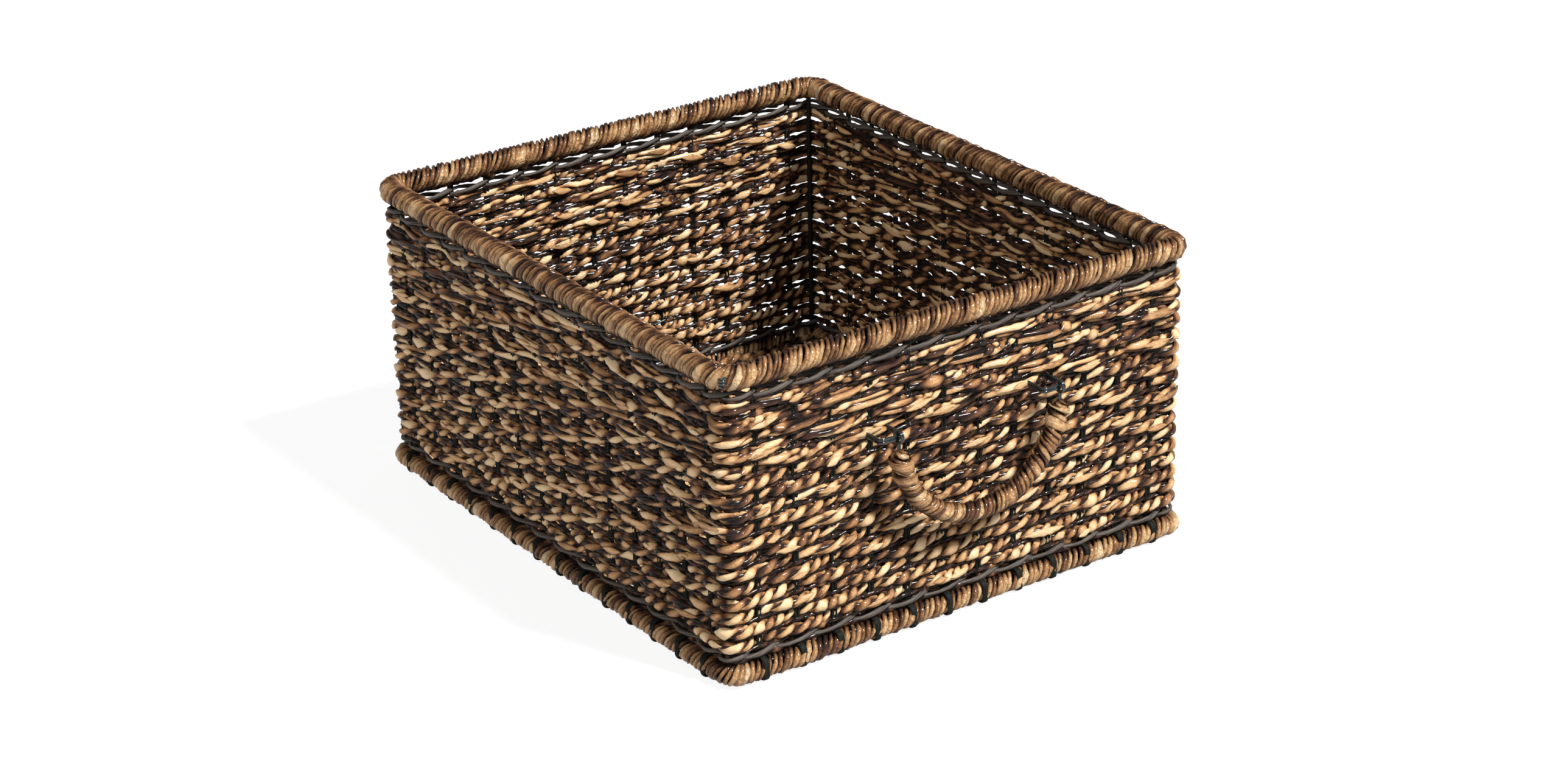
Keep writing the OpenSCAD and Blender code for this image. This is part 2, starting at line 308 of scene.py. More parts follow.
def strand_tree():
    """Lays strands round a path on helices, and sweeps an uneven oval section along each.

    The path brings its attributes: "turn" counts turns along it, "out" is the direction
    at turn nought, "girth" scales how far the strands reach and "fat" widens their sections.
    The result brings "tone", "along" and "ring"."""
    tree = start_strand_tree()
    make = TreeMaker(tree)
    given = tree.nodes.new("NodeGroupInput").outputs
    path = make.add("GeometryNodeMeshToCurve", {0: given["Geometry"]}).outputs[0]
    path = make.add("GeometryNodeResampleCurve", {"Curve": path, "Length": given["Step"]}, mode="LENGTH").outputs[0]
    copies = make.add("GeometryNodeDuplicateElements",
                      {"Geometry": path, "Amount": given["Strands"]}, domain="SPLINE")
    strand = copies.outputs["Duplicate Index"]

    share = make.math("DIVIDE", strand, given["Strands"])
    phase = make.math("ADD", make.math("ADD", make.read("turn"), given["Start turn"]), share)
    theta = make.math("MULTIPLY", phase, math.tau)
    tangent = make.add("GeometryNodeInputTangent").outputs[0]
    out = make.read("out", "FLOAT_VECTOR")
    along_out = make.scaled(tangent, make.vector("DOT_PRODUCT", out, tangent))
    out = make.vector("NORMALIZE", make.vector("SUBTRACT", out, along_out))
    up = make.vector("CROSS_PRODUCT", out, tangent)
    cosine = make.math("COSINE", theta)
    sine = make.math("SINE", theta)
    radial = make.vector("ADD", make.scaled(out, cosine), make.scaled(up, sine))
    reach = make.vector(
        "ADD",
        make.scaled(out, make.math("MULTIPLY", cosine, given["Reach out"])),
        make.scaled(up, make.math("MULTIPLY", sine, given["Reach up"])))

    part_phase = make.math("MULTIPLY", phase, given["Parts per turn"])
    part = make.math("FLOOR", make.math("ADD", part_phase, 0.5))
    part_middle = make.math("COSINE", make.math("MULTIPLY", make.math("SUBTRACT", part_phase, part), math.pi))
    part_id = make.math("ADD", make.math("MULTIPLY", strand, 5003.0), part)
    spline_seed = make.math("ADD", part_id, make.math("MULTIPLY", make.read("chain"), 911.0))

    def dice(shift):
        seed = make.math("ADD", given["Seed"], float(shift))
        inputs = {"ID": spline_seed, "Seed": seed}
        return make.add("FunctionNodeRandomValue", inputs, data_type="FLOAT").outputs[1]

    strand_w = make.math("ADD", make.math("MULTIPLY", strand, 7.3), given["Seed"])
    place = make.add("GeometryNodeInputPosition").outputs[0]

    def wander(scale, shift):
        inputs = {"Vector": place, "W": make.math("ADD", strand_w, float(shift)), "Scale": scale, "Detail": 1.0}
        noise = make.add("ShaderNodeTexNoise", inputs, noise_dimensions="4D").outputs[0]
        return make.math("SUBTRACT", noise, 0.5)

    swell = make.math("ADD", make.math("MULTIPLY", wander(90.0, 0), 1.3),
                      make.math("MULTIPLY", make.math("SUBTRACT", dice(1), 0.5), part_middle))
    swell = make.math("MULTIPLY_ADD", swell, given["Unevenness"], 1.0)
    leaf = make.math("MULTIPLY", make.math("LESS_THAN", dice(2), given["Leaf share"]), part_middle)
    leaf_width = make.math("MULTIPLY_ADD", leaf, given["Leaf growth"], 1.0)
    narrow = make.math("MULTIPLY", make.math("SUBTRACT", part_middle, 1.0), given["Taper"])
    leaf_width = make.math("MULTIPLY", leaf_width, make.math("ADD", narrow, 1.0))
    leaf_width = make.math("MULTIPLY", leaf_width, make.read("fat"))
    slow = make.math("MULTIPLY", wander(14.0, 5), 0.9)
    tone = make.math("MULTIPLY_ADD", make.math("SUBTRACT", dice(3), 0.5), given["Tone spread"], given["Tone"])
    tone = make.math("ADD", tone, make.math("MULTIPLY", slow, given["Tone spread"]))
    tone = make.math("ADD", tone, make.math("MULTIPLY", leaf, 0.25))
    # Painted shade and stain: each part's tone is darkened towards its ends, where it tucks under its neighbours
    ends = make.math("POWER", make.math("SUBTRACT", 1.0, part_middle), 1.5)
    tone = make.math("SUBTRACT", tone, make.math("MULTIPLY", ends, given["Dark ends"]))
    slide = make.scaled(tangent, make.math("MULTIPLY", wander(120.0, 9), given["Drift"]))
    lift = make.math("MULTIPLY_ADD", make.math("MULTIPLY", wander(70.0, 3), 0.7), given["Unevenness"], 1.0)
    lift = make.math("MULTIPLY", lift, make.read("girth"))
    shift = make.vector("ADD", make.scaled(reach, lift), slide)

    curve, kept = make.capture(copies.outputs[0], {
        "radial": ("VECTOR", radial), "swell": ("FLOAT", swell), "wide": ("FLOAT", leaf_width),
        "tone": ("FLOAT", tone), "shift": ("VECTOR", shift)})
    curve = make.add("GeometryNodeSetPosition", {"Geometry": curve, "Offset": kept["shift"]}).outputs[0]
    curve = make.store(curve, "tone", "FLOAT", kept["tone"])
    along = make.add("GeometryNodeSplineParameter").outputs["Length"]
    curve = make.store(curve, "along", "FLOAT", along)
    curve = make.add("GeometryNodeSetCurveNormal", {"Curve": curve, "Normal": kept["radial"]}, mode="FREE").outputs[0]
    side = make.vector("CROSS_PRODUCT", make.add("GeometryNodeInputTangent").outputs[0], kept["radial"])
    curve, line = make.capture(curve, {
        "centre": ("VECTOR", make.add("GeometryNodeInputPosition").outputs[0]), "side": ("VECTOR", side)})
    mesh = make.add("GeometryNodeCurveToMesh", {
        "Curve": curve, "Profile Curve": strand_section(make, given),
        "Scale": kept["swell"], "Fill Caps": True}).outputs[0]
    offset = make.vector("SUBTRACT", make.add("GeometryNodeInputPosition").outputs[0], line["centre"])
    sideways = make.vector("DOT_PRODUCT", offset, line["side"])
    growth = make.math("MULTIPLY", sideways, make.math("SUBTRACT", kept["wide"], 1.0))
    mesh = make.add("GeometryNodeSetPosition",
                    {"Geometry": mesh, "Offset": make.scaled(line["side"], growth)}).outputs[0]
    mesh = crease(make, mesh, line["centre"], given)
    mesh = make.add("GeometryNodeSetShadeSmooth", {"Geometry": mesh}).outputs[0]
    mesh = make.add("GeometryNodeRealizeInstances", {"Geometry": mesh}).outputs[0]
    mesh = make.add("GeometryNodeSetMaterial", {"Geometry": mesh, "Material": given["Material"]}).outputs[0]
    make.tree.links.new(mesh, tree.nodes.new("NodeGroupOutput").inputs[0])
    return tree


def crease(make, mesh, centre, given):
    """Presses lengthwise creases into the swept strands."""
    along = make.math("MULTIPLY", make.read("along"), 100.0)
    ring = make.scaled(make.read("ring", "FLOAT_VECTOR"), 2.0)
    vector = make.vector("ADD", ring, make.add("ShaderNodeCombineXYZ", {2: along}).outputs[0])
    own = make.math("MULTIPLY_ADD", make.read("tone"), 9.0, given["Seed"])
    inputs = {"Vector": vector, "W": own, "Scale": 1.0, "Detail": 0.0}
    noise = make.add("ShaderNodeTexNoise", inputs, noise_dimensions="4D").outputs[0]
    place = make.add("GeometryNodeInputPosition").outputs[0]
    lumps = make.add("ShaderNodeTexNoise", {"Vector": place, "Scale": 300.0, "Detail": 1.0}).outputs[0]
    both = make.math("ADD", make.math("MULTIPLY", lumps, 1.2), noise)
    depth = make.math("MULTIPLY", make.math("SUBTRACT", both, 1.1), given["Creases"])
    offset = make.vector("SUBTRACT", make.add("GeometryNodeInputPosition").outputs[0], centre)
    inputs = {"Geometry": mesh, "Offset": make.scaled(offset, depth)}
    return make.add("GeometryNodeSetPosition", inputs).outputs[0]


def path_object(name, chains):
    """An object of open chains of edges. A chain holds its points, and for each point its
    outward direction, its turn count and its width factor."""
    points = np.concatenate([chain["points"] for chain in chains])
    edges = []
    first = 0
    for chain in chains:
        count = len(chain["points"])
        edges += [(first + i, first + i + 1) for i in range(count - 1)]
        first += count
    mesh = bpy.data.meshes.new(name)
    mesh.from_pydata(points.tolist(), edges, [])
    out = mesh.attributes.new("out", "FLOAT_VECTOR", "POINT")
    out.data.foreach_set("vector", np.concatenate([c["out"] for c in chains]).astype(np.float32).ravel())
    for key in ("turn", "fat", "girth", "chain"):
        values = []
        for number, chain in enumerate(chains):
            count = len(chain["points"])
            given = {"turn": 0.0, "fat": 1.0, "girth": 1.0, "chain": float(number)}[key]
            values.append(np.broadcast_to(chain.get(key, given), count))
        attribute = mesh.attributes.new(key, "FLOAT", "POINT")
        attribute.data.foreach_set("value", np.concatenate(values).astype(np.float32))
    thing = bpy.data.objects.new(name, mesh)
    bpy.context.scene.collection.objects.link(thing)
    return thing


def lay_strands(name, chains, material, **inputs):
    """A piece of strands laid round chains, as a plain mesh."""
    thing = path_object(name, chains)
    tree = bpy.data.node_groups.get("Laid strands") or strand_tree()
    modifier = thing.modifiers.new("Strands", "NODES")
    modifier.node_group = tree
    wanted = {key.replace("_", " ").capitalize(): value for key, value in inputs.items()}
    wanted["Material"] = material
    for item in tree.interface.items_tree:
        if item.in_out == "INPUT" and item.name in wanted:
            modifier[item.identifier] = wanted.pop(item.name)
    if wanted:
        raise ValueError(f"the strands have no input named {sorted(wanted)}")
    bpy.context.view_layer.update()
    graph = bpy.context.evaluated_depsgraph_get()
    mesh = bpy.data.meshes.new_from_object(thing.evaluated_get(graph), preserve_all_data_layers=True, depsgraph=graph)
    thing.modifiers.clear()
    old = thing.data
    thing.data = mesh
    bpy.data.meshes.remove(old)
    mesh.name = name
    if not mesh.materials:
        mesh.materials.append(material)
    return thing


def join(name, pieces):
    """One object of several meshes."""
    with bpy.context.temp_override(
            active_object=pieces[0], selected_objects=pieces, selected_editable_objects=pieces):
        bpy.ops.object.join()
    pieces[0].name = name
    pieces[0].data.name = name
    return pieces[0]


def fit(piece, body, slot, *nodes):
    """Puts a piece on its body, in place of the frame's nodes."""
    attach(piece, body)
    if nodes:
        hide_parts(*nodes)


# ---- Paths ----

def loop_path(half_x, half_y, bend, step):
    """A rounded rectangle in plan, anticlockwise from the middle of the back left bend to the
    same point again: distances along it, points with no height, and outward directions."""
    cx = half_x - bend
    cy = half_y - bend
    quarter = bend * math.pi / 2
    spans = [quarter / 2, 2 * cy, quarter, 2 * cx, quarter, 2 * cy, quarter, 2 * cx, quarter / 2]
    marks = np.concatenate([[0.0], np.cumsum(spans)])
    count = int(round(marks[-1] / step)) + 1
    s = np.linspace(0.0, marks[-1], count)
    facing = np.radians(np.interp(s, marks, [135, 180, 180, 270, 270, 360, 360, 450, 450, 495]))
    x = np.interp(s, marks, [-cx, -cx, -cx, -cx, cx, cx, cx, cx, -cx, -cx])
    y = np.interp(s, marks, [cy, cy, -cy, -cy, -cy, -cy, cy, cy, cy, cy])
    out = np.stack([np.cos(facing), np.sin(facing), np.zeros(count)], axis=1)
    points = np.stack([x, y, np.zeros(count)], axis=1) + bend * out
    return s, points, out, marks


def stake_marks(marks, sizes):
    """Distances along a loop of every stake, wall by wall, with the bends between the walls."""
    weave = settings("weave")
    places = []
    for wall in range(4):
        count = weave.stakes_deep if wall % 2 == 0 else weave.stakes_wide
        centre = middle(marks[2 * wall + 1], marks[2 * wall + 2])
        bend = 0.0 if wall == 0 else middle(marks[2 * wall], marks[2 * wall + 1])
        places.append((bend, [centre + (i - (count - 1) / 2) * sizes.pitch for i in range(count)]))
    return places


def smooth_steps(s, knots, values):
    """Values at the knots, with a half cosine wave from each knot to the next."""
    index = np.clip(np.searchsorted(knots, s, side="right") - 1, 0, len(knots) - 2)
    knots = np.asarray(knots)
    values = np.asarray(values, float)
    part = (s - knots[index]) / (knots[index + 1] - knots[index])
    blend = (1 - np.cos(np.pi * np.clip(part, 0, 1))) / 2
    return values[index] * (1 - blend) + values[index + 1] * blend


# A rope shows on the outside for a little more than half its length
OUTWARD_LEAN = 0.3


def weave_offsets(s, marks, sizes, row):
    """How far a rope stands out of its row's middle: outside every bend, and on alternate
    sides of the stakes."""
    knots = []
    values = []
    for bend, stakes in stake_marks(marks, sizes):
        knots.append(bend)
        values.append(1.0)
        for i, place in enumerate(stakes):
            knots.append(place)
            values.append(1.0 if (i + row) % 2 == 0 else -1.0)
    knots.append(marks[-1])
    values.append(1.0)
    side = smooth_steps(s, knots, values)
    return settings("weave").rope_swing * (side + OUTWARD_LEAN * (1 - side ** 2))


def waves(s, total, random, counts, height):
    """A sum of whole waves round a loop."""
    result = np.zeros(len(s))
    for count in counts:
        result += height * random.uniform(0.4, 1.0) * np.sin(
            math.tau * (count * s / total + random.uniform()))
    return result / math.sqrt(len(counts))


def bend_lift(s, marks, height):
    """A small rise at each bend, where the strands crowd up under the rim."""
    lift = np.zeros(len(s))
    for bend in (0.0, *[middle(marks[i], marks[i + 1]) for i in (2, 4, 6)], marks[-1]):
        lift += height * np.exp(-((s - bend) / (14 * MM)) ** 2)
    return lift


def turned(chain, turns):
    """A chain turned about the vertical by a whole number of quarter turns."""
    c, s = [(1, 0), (0, 1), (-1, 0), (0, -1)][turns % 4]
    matrix = np.array([[c, s, 0], [-s, c, 0], [0, 0, 1]], float)
    result = dict(chain)
    result["points"] = chain["points"] @ matrix
    result["out"] = chain["out"] @ matrix
    return result


# ---- Materials ----

def new_material(name):
    material = bpy.data.materials.new(name)
    material.use_nodes = True
    material.node_tree.nodes.clear()
    return material, TreeMaker(material.node_tree)


def end_material(make, shader):
    output = make.add("ShaderNodeOutputMaterial")
    make.tree.links.new(shader.outputs[0], output.inputs["Surface"])


def ramp(make, factor, stops):
    node = make.add("ShaderNodeValToRGB", {0: factor})
    elements = node.color_ramp.elements
    while len(elements) < len(stops):
        elements.new(0.5)
    for element, (place, rgb) in zip(elements, stops):
        element.position = place
        element.color = (*rgb, 1.0)
    return node.outputs[0]


def strip_coordinates(make, along_scale, ring_scale):
    """Coordinates that run lengthwise and round a strand, its tone, and its nearness to an edge."""
    along = make.add("ShaderNodeAttribute", attribute_name="along").outputs["Fac"]
    ring = make.add("ShaderNodeAttribute", attribute_name="ring").outputs["Vector"]
    tone = make.add("ShaderNodeAttribute", attribute_name="tone").outputs["Fac"]
    split = make.add("ShaderNodeSeparateXYZ", {0: ring})
    vector = make.add("ShaderNodeCombineXYZ", {
        0: make.math("MULTIPLY", along, along_scale),
        1: make.math("MULTIPLY", split.outputs[0], ring_scale),
        2: make.math("MULTIPLY", split.outputs[1], ring_scale)}).outputs[0]
    edge = make.math("POWER", make.math("ABSOLUTE", split.outputs[1]), 2.0)
    return vector, tone, edge


def strip_material(name, bump=0.7, depth=0.9 * MM, streaks=0.55):
    """Varnished bark and seagrass: its colour follows each strip's tone, with lengthwise fibres."""
    finish = settings("finish")
    material, make = new_material(name)
    vector, tone, edge = strip_coordinates(make, 60.0, 5.0)
    own = make.math("MULTIPLY", tone, 61.0)
    fibres = make.add("ShaderNodeTexNoise", {
        "Vector": vector, "W": own, "Scale": 1.0, "Detail": 3.0, "Roughness": 0.6},
        noise_dimensions="4D").outputs[0]
    place = make.add("ShaderNodeTexCoord").outputs["Object"]
    blotches = make.add("ShaderNodeTexNoise", {
        "Vector": place, "Scale": 110.0, "Detail": 2.0}, noise_dimensions="3D").outputs[0]
    specks = make.add("ShaderNodeTexNoise", {
        "Vector": place, "Scale": 900.0, "Detail": 2.0}, noise_dimensions="3D").outputs[0]
    wrinkles = make.add("ShaderNodeTexNoise", {
        "Vector": place, "Scale": 380.0, "Detail": 1.0}, noise_dimensions="3D").outputs[0]
    value = make.math("ADD", tone, make.math("MULTIPLY", make.math("SUBTRACT", fibres, 0.5), streaks))
    value = make.math("ADD", value, make.math("MULTIPLY", make.math("SUBTRACT", blotches, 0.5), 0.45))
    value = make.math("ADD", value, make.math("MULTIPLY", make.math("SUBTRACT", specks, 0.5), 0.12))
    # Partly painted shade, partly stain: each strip is darkened towards its two edges, where it curves away and meets
    # its neighbours
    value = make.math("SUBTRACT", value, make.math("MULTIPLY", edge, 0.25))
    base = ramp(make, value, [
        (0.00, finish.char), (0.17, finish.plum), (0.34, finish.bark),
        (0.54, finish.caramel), (0.76, finish.straw), (1.00, finish.cream)])
    rough = make.math("MULTIPLY_ADD", fibres, 0.35, 0.28)
    height = make.math("ADD", fibres, make.math("MULTIPLY", wrinkles, 1.1))
    height = make.math("ADD", height, make.math("MULTIPLY", specks, 0.2))
    normal = make.add("ShaderNodeBump", {"Strength": bump, "Distance": depth, "Height": height})
    shader = make.add("ShaderNodeBsdfPrincipled", {
        "Base Color": base, "Roughness": rough, "Normal": normal.outputs[0],
        "Coat Weight": 0.24, "Coat Roughness": 0.12, "Specular IOR Level": 0.05})
    end_material(make, shader)
    return material


def grey_material():
    """Weathered grey rattan with long streaks."""
    finish = settings("finish")
    material, make = new_material("Grey rattan")
    vector, tone, edge = strip_coordinates(make, 22.0, 4.5)
    streaks = make.add("ShaderNodeTexNoise", {
        "Vector": vector, "W": tone, "Scale": 1.0, "Detail": 4.0, "Roughness": 0.65},
        noise_dimensions="4D").outputs[0]
    base = ramp(make, streaks, [(0.38, finish.grey_dark), (0.68, finish.grey_light)])
    rough = make.math("MULTIPLY_ADD", streaks, 0.3, 0.3)
    normal = make.add("ShaderNodeBump", {"Strength": 0.5, "Distance": 0.0005, "Height": streaks})
    shader = make.add("ShaderNodeBsdfPrincipled", {
        "Base Color": base, "Roughness": rough, "Normal": normal.outputs[0],
        "Specular IOR Level": 0.15})
    end_material(make, shader)
    return material


def dark_material(name, tint, roughness, scale, bump, coat, specular):
    """A dark stained or painted surface with faint wear."""
    material, make = new_material(name)
    place = make.add("ShaderNodeTexCoord").outputs["Object"]
    grain = make.add("ShaderNodeMapping", {"Vector": place, "Scale": (1.0, 1.0, 0.08)}).outputs[0]
    noise = make.add("ShaderNodeTexNoise", {
        "Vector": grain, "Scale": scale, "Detail": 3.0, "Roughness": 0.6}).outputs[0]
    pale = tuple(min(1.0, c * 2.2 + 0.001) for c in tint)
    base = ramp(make, noise, [(0.42, tuple(tint)), (0.80, pale)])
    rough = make.math("MULTIPLY_ADD", noise, 0.3, roughness - 0.15)
    normal = make.add("ShaderNodeBump", {"Strength": bump, "Distance": 0.0003, "Height": noise})
    shader = make.add("ShaderNodeBsdfPrincipled", {
        "Base Color": base, "Roughness": rough, "Normal": normal.outputs[0],
        "Coat Weight": coat, "Specular IOR Level": specular})
    end_material(make, shader)
    return material


def material_named(name, make_it):
    """A material that is made once and then shared."""
    return bpy.data.materials.get(name) or make_it()


def rope_finish():
    return material_named("Twisted rope", lambda: strip_material("Twisted rope"))


def wound_finish():
    return material_named("Wound strip", lambda: strip_material("Wound strip", bump=1.0, depth=1.8 * MM, streaks=0.9))


def stake_finish():
    tint = settings("finish").stake
    return material_named("Dark stake", lambda: dark_material("Dark stake", tint, 0.6, 700.0, 0.4, 0.0, 0.04))


def wire_finish():
    tint = settings("finish").wire
    return material_named("Black wire", lambda: dark_material("Black wire", tint, 0.22, 300.0, 0.1, 0.8, 0.12))


def rod_finish():
    tint = settings("finish").rod
    return material_named("Painted rod", lambda: dark_material("Painted rod", tint, 0.5, 400.0, 0.15, 0.0, 0.08))


# ---- Pieces ----

def rope_chain(sizes, row, total_rows, random, shared):
    """The path of one woven row."""
    weave = settings("weave")
    low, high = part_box(f"weave_row_{row:02d}")
    s, points, out, marks = loop_path(sizes.wall_x, sizes.wall_y, weave.corner_bend, 2.5 * MM)
    middle_line = points
    part = (row - 1) / (total_rows - 1)
    calm = 1 - 0.25 * part
    points = points + calm * out * weave_offsets(s, marks, sizes, row)[:, None]
    free = math.sin(math.pi * (row - 0.5) / total_rows)
    rise = shared(s, marks[-1]) * (0.35 + 0.65 * free)
    rise = rise + waves(s, marks[-1], random, (5, 13, 29), 0.35 * MM)
    rise = rise + weave.top_stretch * part ** 2
    if row == total_rows:
        rise = rise + bend_lift(s, marks, 2.0 * MM)
    points[:, 2] = middle(low.z, high.z) + rise
    turn_length = np.interp(part, [0.0, 0.7, 0.75, 1.0], [
        weave.turn_bottom, weave.turn_middle, 0.8 * weave.turn_top, weave.turn_top])
    turn_length *= random.uniform(0.88, 1.12)
    pace = np.array([1.0, weave.side_pace, 1.0, 1.0, 1.0, weave.side_pace, 1.0, 1.0, 1.0])
    paced = np.concatenate([[0.0], np.cumsum(np.diff(marks) * pace)])
    turns = round(paced[-1] / turn_length)
    drift = waves(s, marks[-1], random, (9, 17, 31), 0.2)
    swing = np.sum((points - middle_line) * out, axis=1) / weave.rope_swing
    return {"points": points, "out": out, "turn": turns * np.interp(s, marks, paced) / paced[-1] + drift,
            "fat": 1 + 0.14 * swing, "turn_length": turn_length}


def flake_chains(rope, random, count):
    """Short leaf-shaped flakes that lie on the faces of a rope, outside and inside."""
    weave = settings("weave")
    bulge = rope["fat"] - 1
    straight = np.max(np.abs(rope["out"]), axis=1) > 0.999
    seats = np.flatnonzero((np.abs(bulge) > 0.09) & straight)
    seats = seats[(seats > 6) & (seats < len(bulge) - 6)]
    chains = []
    for seat in random.choice(seats, count, replace=False):
        side = np.sign(bulge[seat])
        half = random.randint(2, 5)
        part = np.linspace(-1, 1, 2 * half + 1)
        out = side * rope["out"][seat - half:seat + half + 1]
        proud = weave.ply_reach_out + 0.9 * MM + 0.6 * MM * (1 - part ** 2)
        proud = proud + random.uniform(0, 1.4) * MM * np.clip(part * random.choice([-1, 1]), 0, 1) ** 2
        points = rope["points"][seat - half:seat + half + 1] + out * proud[:, None]
        points[:, 2] += (random.uniform(0.2, 1.6) * part + random.uniform(-1.4, 1.6)) * MM
        fat = 0.08 + np.cos(part * math.pi / 2) ** 0.8
        chains.append({"points": points, "out": out, "fat": fat})
    return chains


def gap_shade_levels(row, rows):
    """Where a row's dark strands of painted shade lie, in rows above its rope."""
    if row == 1:
        return (0.5, -0.5, -1.1)
    if row == rows:
        return (0.5, 1.4)
    return (0.5,)


def gap_shade_chain(rope, sizes, rows, level):
    """A thin dark strand at the middle of the wall, some rows above a rope: painted shade in the gaps between the
    ropes.
    It swells and thins between the stakes, which leaves small holes beside them."""
    s, points, out, marks = loop_path(
        sizes.wall_x, sizes.wall_y, settings("weave").corner_bend, 2.5 * MM)
    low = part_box("weave_row_01")[0].z
    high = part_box(f"weave_row_{rows:02d}")[1].z
    points[:, 2] = rope["points"][:, 2] + level * (high - low) / rows
    swell = 0.85 + 0.45 * np.cos(math.tau * s / (sizes.pitch / 2))
    return {"points": points, "out": out, "fat": swell,
            "turn": round(marks[-1] / (17 * MM)) * s / marks[-1]}


class BASKET_OT_weave(bpy.types.Operator):
    """Lay a two-ply rope for every row of the walls"""

    bl_idname = "basket.weave"
    bl_label = "Woven Rows"

    def execute(self, context):
        weave = settings("weave")
        sizes = Sizes()
        rows = sum(1 for name in frame["nodes"] if name.startswith("weave_row_"))
        phases = np.random.RandomState(7).uniform(0, math.tau, 3)

        def shared(s, total):
            return weave.row_wander * sum(
                np.sin(math.tau * count * s / total + phase) for count, phase in zip((3, 5, 8), phases)) / 1.7

        for row in range(1, rows + 1):
            random = np.random.RandomState(100 + row)
            chain = rope_chain(sizes, row, rows, random, shared)
            height = (row - 1) / (rows - 1)
            leafy = height > 0.72
            plies = 3 if leafy else 2
            finer = 0.95 if leafy else 1.0
            parts = chain["turn_length"] / weave.leaf_length if leafy else 2.0
            laid = lay_strands(
                f"rope_row_{row:02d}", [chain], rope_finish(), strands=plies,
                step=min(chain["turn_length"] / weave.rings_per_turn, 1.8 * MM),
                reach_out=weave.ply_reach_out, reach_up=weave.ply_reach_up,
                width=weave.ply_width * finer, thickness=weave.ply_thickness * finer, start_turn=random.uniform(),
                parts_per_turn=parts, unevenness=0.35, taper=0.6 if leafy else 0.4, leaf_share=0.12,
                leaf_growth=0.4, tone=0.80 - 0.07 * height, tone_spread=0.55 + 0.3 * height, dark_ends=0.4, facets=10,
                creases=0.45, seed=row * 17)
            # A dark strand along each rope's middle: painted shade that shows through the gaps between its plies
            core = lay_strands(
                f"rope_shade_core_{row:02d}", [chain], rope_finish(), strands=1, step=4.0 * MM, reach_out=0.0,
                reach_up=0.0, width=weave.shade_core_thickness, thickness=weave.shade_core_thickness, unevenness=0.2,
                leaf_share=0.0, leaf_growth=0.0, tone=0.12, tone_spread=0.2, dark_ends=0.0, facets=6,
                creases=0.0, seed=row * 19)
            levels = gap_shade_levels(row, rows)
            # Dark strands between the rows: painted shade in the gaps between the ropes
            filler = lay_strands(
                f"rope_gap_shade_{row:02d}", [gap_shade_chain(chain, sizes, rows, level) for level in levels],
                rope_finish(), strands=2, step=2.4 * MM, reach_out=0.8 * MM, reach_up=0.7 * MM,
                width=weave.gap_shade_width, thickness=weave.gap_shade_thickness, unevenness=0.5,
                leaf_share=0.1, leaf_growth=0.5, tone=0.2,
                tone_spread=0.25, dark_ends=0.1, facets=7, creases=0.4, seed=row * 23)
            flakes = lay_strands(
                f"rope_flakes_{row:02d}", flake_chains(chain, random, int(18 + 26 * height)), rope_finish(),
                strands=1, step=1.6 * MM, reach_out=0.0, reach_up=0.0, width=weave.flake_width,
                thickness=1.1 * MM, unevenness=0.4, leaf_share=0.0, tone=0.80, tone_spread=0.45,
                dark_ends=0.0, facets=9, creases=0.5, seed=row * 29)
            piece = join(f"rope_row_{row:02d}", [laid, core, filler, flakes])
            fit(piece, "basket", "twisted_rope", f"weave_row_{row:02d}")
        return {"FINISHED"}


class BASKET_OT_grey_pairs(bpy.types.Operator):
    """Twine a pair of grey rattan strands under the rim and another over the base"""

    bl_idname = "basket.grey_pairs"
    bl_label = "Grey Pairs"

    def execute(self, context):
        weave = settings("weave")
        sizes = Sizes()
        grey = material_named("Grey rattan", grey_material)
        for number, node in enumerate(("lower_twine", "upper_twine")):
            low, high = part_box(node)
            random = np.random.RandomState(40 + number)
            s, points, out, marks = loop_path(sizes.wall_x, sizes.wall_y, weave.corner_bend, 2.5 * MM)
            knots = []
            for bend, stakes in stake_marks(marks, sizes):
                knots += [bend] + stakes
            knots.append(marks[-1])
            points[:, 2] = middle(low.z, high.z) + waves(s, marks[-1], random, (4, 9, 21), 0.4 * MM)
            if node == "upper_twine":
                points[:, 2] += weave.top_stretch + bend_lift(s, marks, 1.5 * MM)
            turn = np.interp(s, knots, 0.5 * np.arange(len(knots)))
            piece = lay_strands(
                f"grey_pair_{number + 1}", [{"points": points, "out": out, "turn": turn}], grey,
                strands=2, step=2.0 * MM, reach_out=3.4 * MM, reach_up=1.4 * MM, width=3.0 * MM,
                thickness=2.5 * MM, start_turn=0.25 * number, unevenness=0.35, leaf_share=0.0,
                leaf_growth=0.0, tone=0.5, tone_spread=0.9, dark_ends=0.0, facets=10, creases=0.5, seed=300 + number)
            fit(piece, "basket", "grey_rattan", node)
        return {"FINISHED"}


def wound_chain(sizes, half_x, half_y, bend, z, turn_length, crowd):
    """A loop with a turn count for winding, with the turns crowded in the bends."""
    s, points, out, marks = loop_path(half_x, half_y, bend, 2.0 * MM)
    bending = np.abs(np.gradient(np.unwrap(np.arctan2(out[:, 1], out[:, 0])), s)) > 1.0
    rate = np.where(bending, crowd, 1.0) / turn_length
    turn = np.concatenate([[0.0], np.cumsum((rate[1:] + rate[:-1]) / 2 * np.diff(s))])
    turn *= round(turn[-1]) / turn[-1]
    points[:, 2] = z
    return {"points": points, "out": out, "turn": turn}


